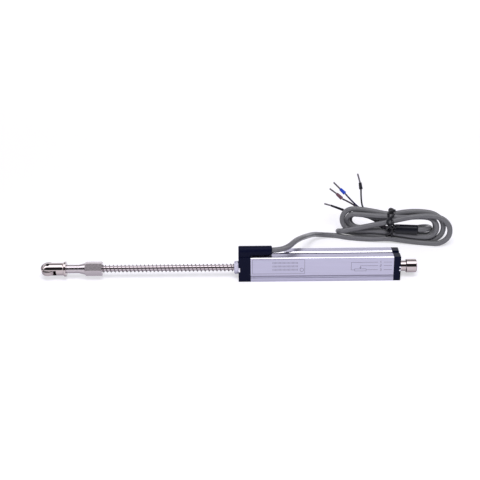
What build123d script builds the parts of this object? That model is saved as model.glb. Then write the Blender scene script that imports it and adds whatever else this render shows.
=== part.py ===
from build123d import *
import os
from math import cos, pi, radians, sin, tan

os.makedirs("parts", exist_ok=True)

# Spring return position transducer, in millimetres.
# X runs along the stroke and the tip points to -X. The back mounting face lies in y = 0,
# the label face looks to -Y, and z = 0 is mid-height, so the part lies on z = -9.

# Driving dimensions of the housing
stroke = 75.0
section_size = 18.0
edge_round = 0.6
front_cap_length = 8.5
profile_length = stroke + 24.5
rear_cap_length = 5.0
rear_cap_round = 0.5
spigot_length = 2.0
clamp_groove_width = 4.0
clamp_groove_depth = 1.6
clamp_groove_from_back = 8.8
label_line_width = 0.5
label_line_depth = 0.4
label_line_height = 3.1
rod_depth = 5.3
channel_radius = 3.9
side_wall = 3.0
back_wall = 1.9
channel_into_chamber = 1.3

# Clearances
seat_clearance = 0.05
thread_clearance = 0.02
running_clearance = 0.04
stop_gap = 0.2

# Driving dimensions of the moving pieces
rod_radius = 2.0
rod_end_chamfer = 0.3
spring_length = stroke + 17.6
spring_outer_radius = 2.8
spring_wire = 0.45
spring_turns = 34.5
spring_wire_sides = 4
seat_washer_radius = 4.5
seat_washer_thickness = 3.0
seat_washer_round = 0.6
hex_flats = 9.0
hex_length = 12.0
hex_chamfer = 0.7
cone_length = 4.6
neck_radius = 3.0
neck_length = 8.8
flange_radius = 5.3
flange_thickness = 2.9
flange_rim = 1.3
head_radius = 4.5
head_length = 12.7
slot_reach = 6.0
slot_side_clearance = 0.15
stud_radius = 1.5
stud_length = 5.0
bore_end_gap = 0.5
rod_in_adapter = 6.0
turn_in_bushes = 22.0
roller_radius = 5.2
roller_width = 4.0
roller_edge_chamfer = 0.35
pin_radius = 1.25
pin_recess = 0.5
ball_radius = 0.78
ball_circle = 3.2
ball_count = 8
race_clearance = 0.07
race_land = 0.7
shield_thickness = 0.2
shield_inset = 0.15
nut_shoulder_radius = 3.7
nut_shoulder_length = 3.7
nut_head_radius = 4.7
nut_head_length = 7.6
nut_chamfer = 0.5
rod_in_nut = 8.0

# Driving dimensions of the inner pieces
board_thickness = 1.2
board_slot_bite = 1.0
board_front = 4.0
board_end_gap = 0.4
slot_clearance = 0.06
slot_end_clearance = 0.15
track_thickness = 0.15
track_width = 3.2
track_offset = 2.6
track_end_margin = 2.0
pin_size = 0.64
pin_pitch = 3.0
pin_length = 7.8
pin_on_board = 1.4
carriage_length = 16.0
carriage_front_gap = 1.7
carriage_hub_radius = 3.3
carriage_face_gap = 0.4
carriage_from_board = 2.2
carriage_side_gap = 0.3
finger_thickness = 0.2
finger_width = 0.8
finger_pitch = 1.0
finger_rows = 3
ring_thickness = 0.5
ring_radius = 2.9
ring_groove_depth = 0.3
screw_from_edge = 2.3
screw_radius = 0.8
screw_hole_clearance = 0.05
screw_head_radius = 1.5
screw_head_height = 1.4
screw_length = 8.0
screw_socket_radius = 0.7
screw_socket_depth = 0.8

# Bushes and the cable elbow
front_bush_radius = 4.0
front_bush_length = 8.0
front_bush_flange = 4.4
rear_bush_radius = 3.4
rear_bush_length = 4.5
rear_bush_flange = 4.1
bush_flange_thickness = 1.1
tab_thickness = 1.0
front_tab_height = 3.0
rear_tab_height = 0.9
rear_tab_pitch = 2.3
rod_passage_clearance = 0.6
elbow_root_rise = 3.1
elbow_root_radius = 3.9
elbow_end_rise = 3.6
elbow_end_radius = 3.4
elbow_length = 23.5
elbow_end_round = 0.9
elbow_front_round = 0.8
elbow_underside_gap = 0.15
cable_bore_depth = 4.0
cable_bore_clearance = 0.1
chamber_inset = 0.3
chamber_from_rod = 4.8
chamber_side_inset = 1.0
chamber_wall = 2.0
channel_bore_radius = 1.0

# Driving dimensions of the cable and of its hank
cable_diameter = 4.0
table_gap = 0.02
wire_diameter = 1.3
heat_shrink_radius = 3.5
hank_thickness = 12.4
hank_turn = -14.4
hank_place = (60.0, 54.2)
tie_thickness = 0.8
tie_width = 3.4
collar_root_radius = 1.15
collar_mouth_radius = 1.45
collar_round = 0.3
shield_sleeve_radius = 1.0
ferrule_pin_radius = 0.65

# Stations worked out from the sizes above
half = section_size / 2
cavity_half_height = half - side_wall
housing_length = front_cap_length + profile_length + rear_cap_length
front_x = -housing_length / 2
profile_x = front_x + front_cap_length
rear_seam_x = profile_x + profile_length
rear_x = rear_seam_x + rear_cap_length
front_spigot_x = profile_x + spigot_length
rear_spigot_x = rear_seam_x - spigot_length
rod_y = rod_depth - section_size
cavity_front_y = rod_y + channel_into_chamber
cavity_back_y = -back_wall
groove_y = -clamp_groove_from_back
screw_y = screw_from_edge - section_size
screw_height = half - screw_from_edge
board_half_width = cavity_half_height + board_slot_bite
carriage_front_y = cavity_front_y + carriage_face_gap
carriage_back_y = -board_front - carriage_from_board
chamber_front_y = rod_y + chamber_from_rod
chamber_back_y = -back_wall - chamber_inset
chamber_half_height = cavity_half_height - chamber_side_inset
elbow_root_z = half + elbow_root_rise
elbow_end_z = half + elbow_end_rise
table_z = -half
washer_x = front_x - seat_washer_thickness
spring_x = washer_x - spring_length
hex_x = spring_x - hex_length
cone_x = hex_x - cone_length
neck_x = cone_x - neck_length
nose_x = neck_x - head_length
rod_front_x = spring_x - rod_in_adapter
nut_x = rear_x + stop_gap
nut_head_x = nut_x + nut_shoulder_length
nut_end_x = nut_head_x + nut_head_length
rod_rear_x = nut_x + rod_in_nut
carriage_x = front_spigot_x + carriage_front_gap
carriage_end_x = carriage_x + carriage_length
elbow_end_x = front_x + elbow_length
rod_axis = Axis((0, rod_y, 0), (1, 0, 0))

# The rod can be turned in its bushes, and lies with its roller pin tilted towards the label side
pin_direction = Vector(0, -sin(radians(turn_in_bushes)), cos(radians(turn_in_bushes)))
nose_centre = Vector(nose_x, rod_y, 0)
roller_plane = Plane(origin=nose_centre, x_dir=(1, 0, 0), z_dir=pin_direction)
roller_section = Plane(origin=nose_centre, x_dir=(1, 0, 0), z_dir=Vector(1, 0, 0).cross(pin_direction))
roller_axis = Axis(nose_centre, pin_direction)


def section_plane(x):
    """The plane across the stroke at x, whose own axes are Y and Z."""
    return Plane.YZ.offset(x)


def draw_square():
    """The square housing section without its grooves."""
    with Locations((-half, 0)):
        RectangleRounded(section_size, section_size, edge_round)


def draw_clamp_grooves(mode):
    """The two clamp grooves, in the upper and the lower side."""
    with Locations((groove_y, half), (groove_y, -half)):
        Rectangle(clamp_groove_width, 2 * clamp_groove_depth, mode=mode)


def draw_cavity(gap, mode=Mode.ADD):
    """The round channel of the rod, open to the square chamber of the carriage."""
    with Locations((rod_y, 0)):
        Circle(channel_radius - gap, mode=mode)
    with Locations(((cavity_front_y + cavity_back_y) / 2, 0)):
        depth = cavity_back_y - cavity_front_y
        Rectangle(depth - 2 * gap, 2 * (cavity_half_height - gap), mode=mode)


def draw_turned(points):
    """A closed half section of a piece turned about the rod's axis, as points of x and radius."""
    with BuildLine() as outline:
        Polyline([(x, rod_y + r) for x, r in points], close=True)
    make_face(outline.edges())


def save(piece, name):
    """Labels a finished piece and writes its file."""
    piece.part.label = name
    export_step(piece.part, f"parts/{name}.step")


# Housing profile: extruded aluminium with the cavity, the board's slots and two screw ports
with BuildPart() as housing_profile:
    with BuildSketch(section_plane(profile_x)):
        draw_square()
        draw_clamp_grooves(Mode.SUBTRACT)
        with Locations((-section_size, label_line_height - half)):
            Rectangle(2 * label_line_depth, label_line_width, mode=Mode.SUBTRACT)
        draw_cavity(0, Mode.SUBTRACT)
        with Locations((-board_front + board_thickness / 2, 0)):
            slot_width = board_thickness + 2 * slot_clearance
            slot_height = 2 * (board_half_width + slot_end_clearance)
            Rectangle(slot_width, slot_height, mode=Mode.SUBTRACT)
        with Locations((screw_y, screw_height), (screw_y, -screw_height)):
            Circle(screw_radius + screw_hole_clearance, mode=Mode.SUBTRACT)
    extrude(amount=profile_length)
save(housing_profile, "housing_profile")

# Front cap: one moulding with a spigot, the bush's pocket, a wire chamber and the cable elbow
with BuildPart() as front_cap:
    with BuildSketch(section_plane(front_x)):
        draw_square()
        with Locations((groove_y, -half)):
            Rectangle(clamp_groove_width, 2 * clamp_groove_depth, mode=Mode.SUBTRACT)
    extrude(amount=front_cap_length)
    with BuildSketch(section_plane(front_x)):
        with Locations((rod_y, elbow_root_z)):
            Circle(elbow_root_radius)
    with BuildSketch(section_plane(elbow_end_x)):
        with Locations((rod_y, elbow_end_z)):
            Circle(elbow_end_radius)
    loft()
    mouth = front_cap.edges().filter_by(GeomType.CIRCLE).group_by(Axis.X)[-1]
    fillet(mouth, elbow_end_round)
    with BuildSketch(section_plane(front_x)):
        with Locations((rod_y, (half + elbow_root_z) / 2)):
            Rectangle(2 * elbow_root_radius, elbow_root_z - half + edge_round)
    extrude(amount=front_cap_length)
    front_arcs = front_cap.edges().filter_by(GeomType.CIRCLE).filter_by_position(Axis.X, front_x, front_x)
    fillet(front_arcs.sort_by(Axis.Z)[-1], elbow_front_round)
    with BuildSketch(section_plane(profile_x)):
        with Locations((rod_y, half + elbow_underside_gap - edge_round)):
            Rectangle(2 * elbow_root_radius, 2 * edge_round)
    extrude(amount=elbow_length, mode=Mode.SUBTRACT)
    with BuildSketch(section_plane(profile_x)):
        draw_cavity(seat_clearance)
    extrude(amount=spigot_length)
    with BuildSketch(section_plane(elbow_end_x)):
        with Locations((rod_y, elbow_end_z)):
            Circle(cable_diameter / 2 + cable_bore_clearance)
    extrude(amount=-cable_bore_depth, mode=Mode.SUBTRACT)
    with BuildSketch(section_plane(front_x)):
        with Locations((rod_y, 0)):
            Circle(front_bush_radius + seat_clearance)
    extrude(amount=front_bush_length + seat_clearance, mode=Mode.SUBTRACT)
    with BuildSketch(section_plane(front_x)):
        with Locations((rod_y, 0)):
            Circle(front_bush_flange + seat_clearance)
        with Locations((-section_size, 0)):
            Rectangle(rod_depth, front_tab_height + 2 * seat_clearance)
    extrude(amount=bush_flange_thickness + seat_clearance, mode=Mode.SUBTRACT)
    with BuildSketch(section_plane(front_x)):
        with Locations((rod_y, 0)):
            Circle(rod_radius + rod_passage_clearance)
    extrude(amount=front_cap_length + spigot_length, mode=Mode.SUBTRACT)
    with BuildSketch(section_plane(front_x + chamber_wall)):
        with Locations(((chamber_front_y + chamber_back_y) / 2, 0)):
            Rectangle(chamber_back_y - chamber_front_y, 2 * chamber_half_height)
    extrude(amount=front_cap_length + spigot_length - chamber_wall, mode=Mode.SUBTRACT)
    channel_start = Vector(profile_x - chamber_wall, rod_y, elbow_root_z)
    channel_end = Vector(profile_x - chamber_wall, chamber_front_y + channel_bore_radius, 0)
    with BuildSketch(Plane(origin=channel_start, z_dir=channel_end - channel_start)):
        Circle(channel_bore_radius)
    extrude(amount=(channel_end - channel_start).length, mode=Mode.SUBTRACT)
    with BuildSketch(section_plane(elbow_end_x - cable_bore_depth)):
        with Locations((rod_y, elbow_end_z)):
            Circle(channel_bore_radius)
    extrude(amount=channel_start.X - elbow_end_x + cable_bore_depth, mode=Mode.SUBTRACT)
    with BuildSketch(section_plane(front_x)):
        with Locations((screw_y, screw_height), (screw_y, -screw_height)):
            Circle(screw_radius + 2 * screw_hole_clearance)
    extrude(amount=front_cap_length, mode=Mode.SUBTRACT)
    with BuildSketch(section_plane(front_x)):
        with Locations((screw_y, screw_height), (screw_y, -screw_height)):
            Circle(screw_head_radius + 2 * screw_hole_clearance)
    extrude(amount=screw_head_height, mode=Mode.SUBTRACT)
save(front_cap, "front_cap")

# Rear cap: a shorter moulding with the same section and spigot
with BuildPart() as rear_cap:
    with BuildSketch(section_plane(rear_seam_x)):
        draw_square()
    extrude(amount=rear_cap_length)
    fillet(rear_cap.faces().sort_by(Axis.X)[-1].outer_wire().edges(), rear_cap_round)
    with BuildSketch(section_plane(rear_seam_x)):
        draw_clamp_grooves(Mode.ADD)
    extrude(amount=rear_cap_length, mode=Mode.SUBTRACT)
    with BuildSketch(section_plane(rear_spigot_x)):
        draw_cavity(seat_clearance)
    extrude(amount=spigot_length)
    with BuildSketch(section_plane(rear_x)):
        with Locations((rod_y, 0)):
            Circle(rear_bush_radius + seat_clearance)
    extrude(amount=-rear_bush_length - seat_clearance, mode=Mode.SUBTRACT)
    with BuildSketch(section_plane(rear_x)):
        with Locations((rod_y, 0)):
            Circle(rear_bush_flange + seat_clearance)
        with Locations((-section_size, rear_tab_pitch / 2), (-section_size, -rear_tab_pitch / 2)):
            Rectangle(rod_depth, rear_tab_height + 2 * seat_clearance)
    extrude(amount=-bush_flange_thickness - seat_clearance, mode=Mode.SUBTRACT)
    with BuildSketch(section_plane(rear_spigot_x)):
        with Locations((rod_y, 0)):
            Circle(rod_radius + rod_passage_clearance)
    extrude(amount=rear_cap_length + spigot_length, mode=Mode.SUBTRACT)
    with BuildSketch(section_plane(rear_x)):
        with Locations((screw_y, screw_height), (screw_y, -screw_height)):
            Circle(screw_radius + 2 * screw_hole_clearance)
    extrude(amount=-rear_cap_length, mode=Mode.SUBTRACT)
    with BuildSketch(section_plane(rear_x)):
        with Locations((screw_y, screw_height), (screw_y, -screw_height)):
            Circle(screw_head_radius + 2 * screw_hole_clearance)
    extrude(amount=-screw_head_height, mode=Mode.SUBTRACT)
save(rear_cap, "rear_cap")

# Front bush: a flanged sleeve whose tab shows at the label face
with BuildPart() as front_bush:
    with BuildSketch(section_plane(front_x)):
        with Locations((rod_y, 0)):
            Circle(front_bush_radius)
    extrude(amount=front_bush_length)
    with BuildSketch(section_plane(front_x)):
        with Locations((rod_y, 0)):
            Circle(front_bush_flange)
        with Locations((-section_size + rod_depth / 2, 0)):
            Rectangle(rod_depth, front_tab_height)
    extrude(amount=tab_thickness)
    with BuildSketch(section_plane(front_x)):
        with Locations((rod_y, 0)):
            Circle(rod_radius + running_clearance)
    extrude(amount=front_bush_length, mode=Mode.SUBTRACT)
save(front_bush, "front_bush")

# Rear bush: shorter, with two small tabs
with BuildPart() as rear_bush:
    with BuildSketch(section_plane(rear_x)):
        with Locations((rod_y, 0)):
            Circle(rear_bush_radius)
    extrude(amount=-rear_bush_length)
    with BuildSketch(section_plane(rear_x)):
        with Locations((rod_y, 0)):
            Circle(rear_bush_flange)
        tab_y = -section_size + rod_depth / 2
        with Locations((tab_y, rear_tab_pitch / 2), (tab_y, -rear_tab_pitch / 2)):
            Rectangle(rod_depth, rear_tab_height)
    extrude(amount=-tab_thickness)
    with BuildSketch(section_plane(rear_x)):
        with Locations((rod_y, 0)):
            Circle(rod_radius + running_clearance)
    extrude(amount=-rear_bush_length, mode=Mode.SUBTRACT)
save(rear_bush, "rear_bush")

# Cap screws: countersunk into the caps, with a hexagon socket
for name, head_x, inward in (("front_cap_screws", front_x, 1), ("rear_cap_screws", rear_x, -1)):
    with BuildPart() as cap_screws:
        with BuildSketch(section_plane(head_x)):
            with Locations((screw_y, screw_height), (screw_y, -screw_height)):
                Circle(screw_head_radius)
        extrude(amount=inward * screw_head_height)
        with BuildSketch(section_plane(head_x + inward * screw_head_height)):
            with Locations((screw_y, screw_height), (screw_y, -screw_height)):
                Circle(screw_radius)
        extrude(amount=inward * (screw_length - screw_head_height + front_cap_length / 2))
        with BuildSketch(section_plane(head_x)):
            with Locations((screw_y, screw_height), (screw_y, -screw_height)):
                RegularPolygon(screw_socket_radius, 6)
        extrude(amount=inward * screw_socket_depth, mode=Mode.SUBTRACT)
    save(cap_screws, name)

# Spring seat washer: a thick plastic ring against the front cap
with BuildPart() as spring_seat_washer:
    with BuildSketch(section_plane(washer_x)):
        with Locations((rod_y, 0)):
            Circle(seat_washer_radius)
            Circle(rod_radius + rod_passage_clearance / 2, mode=Mode.SUBTRACT)
    extrude(amount=seat_washer_thickness)
    rims = spring_seat_washer.edges().filter_by(GeomType.CIRCLE).group_by(SortBy.RADIUS)[-1]
    fillet(rims, seat_washer_round)
save(spring_seat_washer, "spring_seat_washer")

# Track board and its two tracks, in the slots of the profile
board_x = front_spigot_x + board_end_gap
board_length = rear_spigot_x - front_spigot_x - 2 * board_end_gap
with BuildPart() as track_board:
    with BuildSketch(section_plane(board_x)):
        with Locations((-board_front + board_thickness / 2, 0)):
            Rectangle(board_thickness, 2 * board_half_width)
    extrude(amount=board_length)
save(track_board, "track_board")

for name, side in (("resistance_track", -1), ("collector_track", 1)):
    with BuildPart() as track:
        with BuildSketch(section_plane(board_x + track_end_margin)):
            with Locations((-board_front - track_thickness / 2, side * track_offset)):
                Rectangle(track_thickness, track_width)
        extrude(amount=board_length - 2 * track_end_margin)
    save(track, name)

# Terminal pins: three square pins soldered to the board's front end
with BuildPart() as terminal_pins:
    with BuildSketch(section_plane(board_x + pin_on_board)):
        pin_y = -board_front - pin_size / 2
        with Locations((pin_y, -pin_pitch), (pin_y, 0), (pin_y, pin_pitch)):
            Rectangle(pin_size, pin_size)
    extrude(amount=-pin_length)
save(terminal_pins, "terminal_pins")

# Push rod, with two grooves for the retaining rings
ring_stations = (carriage_x - 2 * seat_clearance - ring_thickness, carriage_end_x + 2 * seat_clearance)
with BuildPart() as push_rod:
    with BuildSketch(section_plane(rod_front_x)):
        with Locations((rod_y, 0)):
            Circle(rod_radius)
    extrude(amount=rod_rear_x - rod_front_x)
    chamfer(push_rod.edges().filter_by(GeomType.CIRCLE), rod_end_chamfer)
    for ring_x in ring_stations:
        with BuildSketch(section_plane(ring_x - seat_clearance)):
            with Locations((rod_y, 0)):
                Circle(rod_radius + rod_end_chamfer)
                Circle(rod_radius - ring_groove_depth, mode=Mode.SUBTRACT)
        extrude(amount=ring_thickness + 2 * seat_clearance, mode=Mode.SUBTRACT)
save(push_rod, "push_rod")

# Retaining rings: open spring rings on both sides of the carriage
with BuildPart() as retaining_rings:
    for ring_x in ring_stations:
        with BuildSketch(section_plane(ring_x)):
            with Locations((rod_y, 0)):
                Circle(ring_radius)
                Circle(rod_radius - ring_groove_depth + thread_clearance, mode=Mode.SUBTRACT)
            with Locations((rod_y, ring_radius)):
                Rectangle(rod_radius, 2 * ring_radius - rod_radius, mode=Mode.SUBTRACT)
        extrude(amount=ring_thickness)
save(retaining_rings, "retaining_rings")

# Hex adapter: hexagon, cone and neck turned from one bar, bored for the rod and for the head's stud
with BuildPart() as hex_adapter:
    with BuildSketch(section_plane(hex_x)):
        with Locations((rod_y, 0)):
            RegularPolygon(hex_flats / 2, 6, major_radius=False, rotation=90 + turn_in_bushes)
    extrude(amount=hex_length)
    corner_radius = hex_flats / 2 / cos(radians(30))
    chamfer_radius = corner_radius - hex_chamfer
    with BuildSketch(Plane.XY):
        draw_turned([
            (hex_x, 0),
            (hex_x, chamfer_radius),
            (hex_x + hex_chamfer, corner_radius),
            (spring_x - hex_chamfer / 2, corner_radius),
            (spring_x, chamfer_radius + hex_chamfer / 2),
            (spring_x, 0),
        ])
    revolve(axis=rod_axis, mode=Mode.INTERSECT)
    with BuildSketch(Plane.XY):
        draw_turned([
            (neck_x, 0),
            (neck_x, neck_radius),
            (cone_x, neck_radius),
            (hex_x, hex_flats / 2 - hex_chamfer / 2),
            (hex_x, 0),
        ])
    revolve(axis=rod_axis)
    with BuildSketch(Plane.XY):
        draw_turned([
            (spring_x - rod_in_adapter - bore_end_gap, 0),
            (spring_x - rod_in_adapter - bore_end_gap, rod_radius + thread_clearance),
            (spring_x, rod_radius + thread_clearance),
            (spring_x, 0),
        ])
    revolve(axis=rod_axis, mode=Mode.SUBTRACT)
    with BuildSketch(Plane.XY):
        draw_turned([
            (neck_x, 0),
            (neck_x, stud_radius + thread_clearance),
            (neck_x + stud_length + bore_end_gap, stud_radius + thread_clearance),
            (neck_x + stud_length + bore_end_gap, 0),
        ])
    revolve(axis=rod_axis, mode=Mode.SUBTRACT)
save(hex_adapter, "hex_adapter")

# Roller head: round nose, barrel, flared flange and stud, cut by the roller's slot and pin hole
flare_start_x = neck_x - flange_thickness
rim_x = neck_x - flange_rim
with BuildPart() as roller_head:
    with BuildSketch(Plane.XY):
        with BuildLine():
            Line((nose_x - head_radius, rod_y), (neck_x + stud_length, rod_y))
            Line((neck_x + stud_length, rod_y), (neck_x + stud_length, rod_y + stud_radius))
            Line((neck_x + stud_length, rod_y + stud_radius), (neck_x, rod_y + stud_radius))
            Line((neck_x, rod_y + stud_radius), (neck_x, rod_y + flange_radius))
            Line((neck_x, rod_y + flange_radius), (rim_x, rod_y + flange_radius))
            flare_rise = (flange_radius - head_radius) / 3
            flare_end = (flare_start_x, rod_y + head_radius)
            flare_middle = ((flare_start_x + 2 * rim_x) / 3, rod_y + head_radius + flare_rise)
            ThreePointArc((rim_x, rod_y + flange_radius), flare_middle, flare_end)
            Line((flare_start_x, rod_y + head_radius), (nose_x, rod_y + head_radius))
            RadiusArc((nose_x, rod_y + head_radius), (nose_x - head_radius, rod_y), -head_radius)
        make_face()
    revolve(axis=rod_axis)
    with BuildSketch(roller_plane):
        with Locations(((slot_reach - 2 * head_radius) / 2, 0)):
            Rectangle(slot_reach + 2 * head_radius, 4 * head_radius)
    extrude(amount=roller_width / 2 + slot_side_clearance, both=True, mode=Mode.SUBTRACT)
    with BuildSketch(roller_plane):
        Circle(pin_radius + thread_clearance)
    extrude(amount=2 * head_radius, both=True, mode=Mode.SUBTRACT)
save(roller_head, "roller_head")

# Roller pin, set back a little in the head's two cheeks
with BuildPart() as roller_pin:
    with BuildSketch(roller_plane):
        Circle(pin_radius)
    extrude(amount=head_radius - pin_recess, both=True)
    chamfer(roller_pin.edges().filter_by(GeomType.CIRCLE), pin_radius / 6)
save(roller_pin, "roller_pin")

# Roller: a ball bearing with two rings, balls and two shields
race_radius = ball_radius + race_clearance
with BuildPart() as roller_outer_ring:
    with BuildSketch(roller_section) as ring_section:
        land = ball_circle + race_land
        with Locations(((land + roller_radius) / 2, 0)):
            Rectangle(roller_radius - land, roller_width)
        chamfer(ring_section.vertices(), roller_edge_chamfer)
        with Locations((ball_circle, 0)):
            Circle(race_radius, mode=Mode.SUBTRACT)
    revolve(axis=roller_axis)
save(roller_outer_ring, "roller_outer_ring")

with BuildPart() as roller_inner_ring:
    with BuildSketch(roller_section):
        land = ball_circle - race_land
        bore = pin_radius + thread_clearance
        with Locations(((bore + land) / 2, 0)):
            Rectangle(land - bore, roller_width)
        with Locations((ball_circle, 0)):
            Circle(race_radius, mode=Mode.SUBTRACT)
    revolve(axis=roller_axis)
save(roller_inner_ring, "roller_inner_ring")

with BuildPart(roller_plane) as roller_balls:
    with PolarLocations(ball_circle, ball_count):
        Sphere(ball_radius)
save(roller_balls, "roller_balls")

with BuildPart() as roller_shields:
    for side in (-1, 1):
        shield_middle = side * (roller_width / 2 - shield_inset)
        with BuildSketch(roller_plane.offset(shield_middle - shield_thickness / 2)):
            Circle(ball_circle + race_land - seat_clearance)
            Circle(ball_circle - race_land + 2 * seat_clearance, mode=Mode.SUBTRACT)
        extrude(amount=shield_thickness)
save(roller_shields, "roller_shields")

# Stop nut on the rod's rear end: it stops the rod at its outer end
with BuildPart() as stop_nut:
    with BuildSketch(Plane.XY):
        draw_turned([
            (nut_x, 0),
            (nut_x, nut_shoulder_radius),
            (nut_head_x, nut_shoulder_radius),
            (nut_head_x, nut_head_radius - nut_chamfer),
            (nut_head_x + nut_chamfer, nut_head_radius),
            (nut_end_x - nut_chamfer, nut_head_radius),
            (nut_end_x, nut_head_radius - nut_chamfer),
            (nut_end_x, 0),
        ])
    revolve(axis=rod_axis)
    with BuildSketch(Plane.XY):
        draw_turned([
            (nut_x, 0),
            (nut_x, rod_radius + thread_clearance),
            (rod_rear_x + bore_end_gap, rod_radius + thread_clearance),
            (rod_rear_x + bore_end_gap, 0),
        ])
    revolve(axis=rod_axis, mode=Mode.SUBTRACT)
save(stop_nut, "stop_nut")

# Wiper carriage: a hub that the rod turns in, on a sliding block
with BuildPart() as wiper_carriage:
    with BuildSketch(section_plane(carriage_x)):
        with Locations((rod_y, 0)):
            Circle(carriage_hub_radius)
        with Locations(((carriage_front_y + carriage_back_y) / 2, 0)):
            block_height = 2 * (cavity_half_height - carriage_side_gap)
            Rectangle(carriage_back_y - carriage_front_y, block_height)
        with Locations((rod_y, 0)):
            Circle(rod_radius + running_clearance, mode=Mode.SUBTRACT)
    extrude(amount=carriage_length)
save(wiper_carriage, "wiper_carriage")

# Wiper fingers: a thin leaf under the block, with two groups of fingers bent to the tracks
leaf_x = carriage_x + carriage_length / 4
bend_x = carriage_end_x - carriage_length / 3
tip_x = carriage_end_x - finger_thickness
leaf_y = carriage_back_y + seat_clearance + finger_thickness / 2
contact_y = -board_front - track_thickness - seat_clearance - finger_thickness / 2
toe_x = tip_x - finger_width
with BuildPart() as wiper_fingers:
    with BuildSketch(Plane.XY):
        with BuildLine():
            Polyline((leaf_x, leaf_y), (bend_x, leaf_y), (toe_x, contact_y), (tip_x, contact_y))
        trace(line_width=finger_thickness)
    extrude(amount=cavity_half_height - 2 * carriage_side_gap, both=True)
    with BuildSketch(Plane.XZ.offset(-carriage_back_y)):
        slit = finger_pitch - finger_width
        finger_span = tip_x - bend_x + 2 * finger_thickness
        span_centre = (tip_x + bend_x) / 2 + finger_thickness
        outer = track_offset + finger_rows * finger_pitch / 2
        inner = track_offset - finger_rows * finger_pitch / 2
        with Locations((span_centre, 0)):
            Rectangle(finger_span, 2 * inner)
        edge_z = outer + cavity_half_height
        with Locations((span_centre, edge_z), (span_centre, -edge_z)):
            Rectangle(finger_span, 2 * cavity_half_height)
        for side in (-1, 1):
            for row in range(1, finger_rows):
                slit_z = side * (inner + row * finger_pitch)
                with Locations((span_centre, slit_z)):
                    Rectangle(finger_span, slit)
    extrude(amount=2 * carriage_back_y, mode=Mode.SUBTRACT)
save(wiper_fingers, "wiper_fingers")

# Return spring round the rod, between the hexagon and the seat washer
spring_mean_radius = spring_outer_radius - spring_wire / 2
coil_height = spring_length - spring_wire - 2 * seat_clearance
with BuildPart() as return_spring:
    with BuildLine() as coil:
        Helix(
            pitch=coil_height / spring_turns,
            height=coil_height,
            radius=spring_mean_radius,
            center=(spring_x + spring_wire / 2 + seat_clearance, rod_y, 0),
            direction=(1, 0, 0),
        )
    with BuildSketch(Plane(origin=coil.line @ 0, z_dir=coil.line % 0)):
        RegularPolygon(spring_wire / 2, spring_wire_sides)
    sweep(is_frenet=True)
save(return_spring, "return_spring")

# Cable. The hank stands on its long side behind the housing, turned a little.
hank_direction = Vector(cos(radians(hank_turn)), sin(radians(hank_turn)), 0)
hank_origin = Vector(*hank_place, table_z + table_gap)
hank_plane = Plane(origin=hank_origin, x_dir=hank_direction, z_dir=hank_direction.cross(Vector(0, 0, 1)))
lead_z = table_z + table_gap + cable_diameter / 2


def hank_point(along, up, towards_housing=0.0):
    """A point of the hank's own plane, as a place in the part."""
    return hank_plane.from_local_coords(Vector(along, up, towards_housing))


def bend_radii(points):
    """Each corner's arc, as large as its two runs allow."""
    radii = []
    for before, corner, after in zip(points, points[1:], points[2:]):
        run_in = corner - before
        run_out = after - corner
        half_turn = radians(run_in.get_angle(run_out)) / 2
        radii.append(0.45 * min(run_in.length, run_out.length) / tan(half_turn))
    return radii


def save_tube(points, radius, name):
    """A plain round tube along straight runs joined by tangent arcs."""
    radii = bend_radii(points)
    with BuildPart() as tube:
        with BuildLine() as path:
            FilletPolyline(*points, radius=radii)
        with BuildSketch(Plane(origin=path.line @ 0, z_dir=path.line % 0)):
            Circle(radius)
        sweep()
    length = path.wire().length
    print(name, "length %.1f" % length, "radii", [round(r, 1) for r in radii])
    fill = tube.part.volume / (pi * radius**2 * length)
    print("  volume over section times length: %.4f" % fill)
    save(tube, name)


lead_route = [
    Vector(elbow_end_x - cable_bore_depth, rod_y, elbow_end_z),
    Vector(-28.0, rod_y, elbow_end_z),
    Vector(-21.4, -8.4, 13.6),
    Vector(-17.2, 0.8, 14.2),
    Vector(-12.8, 10.8, 12.7),
    Vector(-9.2, 21.4, 9.5),
    Vector(-6.2, 32.4, 5.6),
    Vector(-3.0, 43.4, 1.7),
    Vector(1.4, 54.0, -2.3),
    Vector(8.6, 61.4, -5.8),
    Vector(18.4, 62.8, lead_z),
    hank_point(-34.0, cable_diameter / 2, 4.4),
]
save_tube(lead_route, cable_diameter / 2, "cable_lead")

# Hank: the outer shape of the wound cable, pinched by its tie, with one long eye that is narrow
# at the waist, where the sleeve and its wires pass
with BuildPart() as cable_hank:
    with BuildSketch(hank_plane):
        with BuildLine():
            Spline(
                (-41.0, 13.0), (-39.8, 19.0), (-35.4, 23.8), (-27.0, 25.6), (-14.0, 25.0), (-2.0, 24.4),
                (8.0, 26.0), (20.0, 27.4), (31.0, 25.8), (40.2, 20.8), (45.2, 13.6), (42.4, 5.6),
                (34.0, 1.0), (16.0, 0.6), (-2.0, 1.9), (-18.0, 0.8), (-32.0, 0.6), (-38.8, 3.6),
                periodic=True,
            )
        make_face()
        with BuildLine():
            Spline(
                (-33.2, 15.0), (-29.5, 17.4), (-21.0, 17.8), (-12.0, 16.8), (-4.0, 15.8), (3.0, 16.6),
                (12.0, 19.2), (22.0, 20.6), (28.4, 18.4), (30.0, 13.6), (27.0, 9.2), (18.0, 8.3),
                (8.0, 8.0), (-2.0, 8.4), (-9.0, 9.2), (-15.0, 11.4), (-21.0, 13.2), (-30.5, 12.8),
                periodic=True,
            )
        make_face(mode=Mode.SUBTRACT)
    extrude(amount=hank_thickness / 2, both=True)
save(cable_hank, "cable_hank")

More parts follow.
